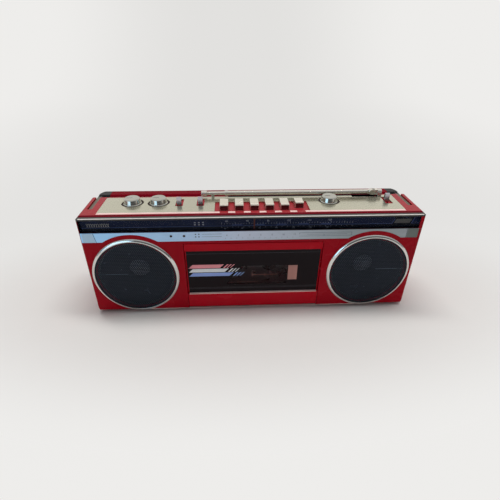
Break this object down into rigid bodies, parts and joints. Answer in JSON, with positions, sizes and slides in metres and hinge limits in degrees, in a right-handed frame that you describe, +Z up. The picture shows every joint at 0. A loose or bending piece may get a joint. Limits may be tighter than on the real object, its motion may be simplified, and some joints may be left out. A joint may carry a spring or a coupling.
{
  "type": "radio cassette recorder",
  "caption": "Compact red stereo radio cassette recorder with round loudspeakers, a hinged cassette door, top keys, knobs and levers, a folding handle and a telescopic antenna.",
  "frame": {"origin": "on the floor under the middle of the bounding box", "axes": "+X to the right seen from the front, +Y to the rear, +Z up; the dial and loudspeakers face -Y"},
  "size_m": [0.4, 0.0902, 0.1425],
  "materials": {
    "red": "glossy moulded",
    "champagne": "satin champagne",
    "chrome": "polished",
    "silver": "brushed silver",
    "dial_lens": "clear tinted",
    "dial_plate": "printed black",
    "window": "smoked clear",
    "grille": "black mesh",
    "black": "satin black",
    "dark_grey": "dark metallic grey",
    "rubber": "matt",
    "steel": "plated sheet",
    "brass": "turned",
    "board": "printed circuit",
    "paper": "pressed paper",
    "ferrite": "sintered",
    "lamp": "diffused",
    "pointer": "orange"
  },
  "bodies": {
    "cabinet": {"front_case": "red", "rear_case": "red", "top_panel": "champagne", "speaker_rings": "chrome", "battery_contacts": "chrome", "trim_bar": "silver", "scale_strip": "silver", "dial_lens": "dial_lens", "dial_plate": "dial_plate", "speaker_grilles": "grille", "mains_inlet": "black", "headphone_jack": "black", "slide_switches": "black", "antenna_bracket": "dark_grey", "speaker_frames": "dark_grey", "feet": "rubber", "drive_belt": "rubber", "deck_chassis": "steel", "motor": "steel", "potentiometers": "steel", "tuning_capacitor": "steel", "transformer": "steel", "case_screws": "steel", "circuit_boards": "board", "ferrite_rod": "ferrite", "speaker_magnets": "ferrite", "indicator_lamps": "lamp"},
    "left_cone": {"left_cone": "paper"},
    "right_cone": {"right_cone": "paper"},
    "battery_lid": {"battery_door": "red"},
    "flywheel": {"flywheel": "brass"},
    "motor_pulley": {"motor_pulley": "brass"},
    "idler": {"idler_wheel": "rubber"},
    "supply_reel": {"supply_spindle": "black"},
    "takeup_reel": {"takeup_spindle": "black"},
    "head_carriage": {"head_plate": "steel", "tape_heads": "silver"},
    "pinch_roller": {"pinch_roller": "rubber"},
    "cassette_door": {"door_frame": "red", "door_window": "window", "cassette_holder": "black"},
    "handle": {"handle_grip": "red", "handle_arms": "dark_grey"},
    "antenna_swivel": {"antenna_swivel": "chrome"},
    "antenna_outer": {"antenna_outer_tube": "chrome"},
    "antenna_middle": {"antenna_middle_tube": "chrome"},
    "antenna_tip": {"antenna_tip_rod": "chrome"},
    "volume_knob": {"volume_knob": "chrome"},
    "tone_knob": {"tone_knob": "chrome"},
    "tuning_knob": {"tuning_knob": "chrome"},
    "dial_pointer": {"dial_pointer": "pointer"},
    "function_lever": {"function_lever": "chrome"},
    "band_lever": {"band_lever": "chrome"},
    "mode_lever": {"mode_lever": "chrome"},
    "record_key": {"record_key": "champagne"},
    "play_key": {"play_key": "champagne"},
    "rewind_key": {"rewind_key": "champagne"},
    "forward_key": {"forward_key": "champagne"},
    "stop_key": {"stop_key": "champagne"},
    "pause_key": {"pause_key": "champagne"}
  },
  "joints": [
    {"name": "handle_fold", "type": "hinge", "parent": "cabinet", "child": "handle", "pos_m": [0, -0.0109, 0.128], "axis": [1, 0, 0], "range_deg": [0, 90]},
    {"name": "door_open", "type": "hinge", "parent": "cabinet", "child": "cassette_door", "pos_m": [0, -0.0389, 0.0076], "axis": [1, 0, 0], "range_deg": [0, 38]},
    {"name": "antenna_turn", "type": "hinge", "parent": "cabinet", "child": "antenna_swivel", "pos_m": [0.162, 0.0156, 0.1392], "axis": [-1, 0, 0], "range_deg": [0, 90]},
    {"name": "antenna_tilt", "type": "hinge", "parent": "antenna_swivel", "child": "antenna_outer", "pos_m": [0.153, 0.0156, 0.1392], "axis": [0, 1, 0], "range_deg": [0, 90]},
    {"name": "antenna_middle_pull", "type": "slide", "parent": "antenna_outer", "child": "antenna_middle", "axis": [-1, 0, 0], "range_m": [0, 0.14]},
    {"name": "antenna_tip_pull", "type": "slide", "parent": "antenna_middle", "child": "antenna_tip", "axis": [-1, 0, 0], "range_m": [0, 0.14]},
    {"name": "record_press", "type": "slide", "parent": "cabinet", "child": "record_key", "axis": [0, 0, -1], "range_m": [0, 0.0045], "stiffness_N_per_m": 250, "springref_m": -0.004},
    {"name": "play_press", "type": "slide", "parent": "cabinet", "child": "play_key", "axis": [0, 0, -1], "range_m": [0, 0.0045], "stiffness_N_per_m": 250, "springref_m": -0.004},
    {"name": "rewind_press", "type": "slide", "parent": "cabinet", "child": "rewind_key", "axis": [0, 0, -1], "range_m": [0, 0.0045], "stiffness_N_per_m": 250, "springref_m": -0.004},
    {"name": "forward_press", "type": "slide", "parent": "cabinet", "child": "forward_key", "axis": [0, 0, -1], "range_m": [0, 0.0045], "stiffness_N_per_m": 250, "springref_m": -0.004},
    {"name": "stop_press", "type": "slide", "parent": "cabinet", "child": "stop_key", "axis": [0, 0, -1], "range_m": [0, 0.0045], "stiffness_N_per_m": 250, "springref_m": -0.004},
    {"name": "pause_press", "type": "slide", "parent": "cabinet", "child": "pause_key", "axis": [0, 0, -1], "range_m": [0, 0.0045], "stiffness_N_per_m": 250, "springref_m": -0.004},
    {"name": "volume_turn", "type": "hinge", "parent": "cabinet", "child": "volume_knob", "pos_m": [-0.146, 0.0011, 0.134], "axis": [0, 0, 1], "range_deg": [-150, 150]},
    {"name": "tone_turn", "type": "hinge", "parent": "cabinet", "child": "tone_knob", "pos_m": [-0.1145, 0.0011, 0.134], "axis": [0, 0, 1], "range_deg": [-150, 150]},
    {"name": "tuning_turn", "type": "hinge", "parent": "cabinet", "child": "tuning_knob", "pos_m": [0.0955, 0.0011, 0.134], "axis": [0, 0, 1], "range_deg": [-540, 540]},
    {"name": "pointer_run", "type": "slide", "parent": "cabinet", "child": "dial_pointer", "axis": [1, 0, 0], "range_m": [-0.057, 0.057]},
    {"name": "function_slide", "type": "slide", "parent": "cabinet", "child": "function_lever", "axis": [0, -1, 0], "range_m": [-0.01, 0]},
    {"name": "band_slide", "type": "slide", "parent": "cabinet", "child": "band_lever", "axis": [0, -1, 0], "range_m": [-0.01, 0]},
    {"name": "mode_slide", "type": "slide", "parent": "cabinet", "child": "mode_lever", "axis": [0, -1, 0], "range_m": [-0.005, 0.005]},
    {"name": "flywheel_spin", "type": "hinge", "parent": "cabinet", "child": "flywheel", "pos_m": [0.023, -0.0129, 0.081], "axis": [0, 1, 0], "continuous": true},
    {"name": "motor_spin", "type": "hinge", "parent": "cabinet", "child": "motor_pulley", "pos_m": [-0.045, -0.0099, 0.065], "axis": [0, 1, 0], "continuous": true},
    {"name": "idler_spin", "type": "hinge", "parent": "cabinet", "child": "idler", "pos_m": [0.02237, -0.0209, 0.07224], "axis": [0, 1, 0], "continuous": true},
    {"name": "takeup_spin", "type": "hinge", "parent": "cabinet", "child": "takeup_reel", "pos_m": [0.02125, -0.0209, 0.0565], "axis": [0, 1, 0], "continuous": true},
    {"name": "supply_spin", "type": "hinge", "parent": "cabinet", "child": "supply_reel", "pos_m": [-0.02125, -0.0209, 0.0565], "axis": [0, 1, 0], "continuous": true},
    {"name": "head_slide", "type": "slide", "parent": "cabinet", "child": "head_carriage", "axis": [0, 0, -1], "range_m": [0, 0.0045]},
    {"name": "pinch_spin", "type": "hinge", "parent": "head_carriage", "child": "pinch_roller", "pos_m": [0.023, -0.0269, 0.0925], "axis": [0, 1, 0], "continuous": true},
    {"name": "battery_lid_pull", "type": "slide", "parent": "cabinet", "child": "battery_lid", "axis": [0, 1, 0], "range_m": [0, 0.04]},
    {"name": "left_cone_travel", "type": "slide", "parent": "cabinet", "child": "left_cone", "axis": [0, -1, 0], "range_m": [-0.001, 0.001], "stiffness_N_per_m": 2000},
    {"name": "right_cone_travel", "type": "slide", "parent": "cabinet", "child": "right_cone", "axis": [0, -1, 0], "range_m": [-0.001, 0.001], "stiffness_N_per_m": 2000}
  ],
  "couplings": [
    {"joint": "pointer_run", "follows": "tuning_turn", "m_per_rad": -0.006},
    {"joint": "motor_spin", "follows": "flywheel_spin", "ratio": 6},
    {"joint": "idler_spin", "follows": "flywheel_spin", "ratio": -0.53752},
    {"joint": "takeup_spin", "follows": "flywheel_spin", "ratio": 0.3},
    {"joint": "head_slide", "follows": "play_press", "ratio": 1}
  ]
}
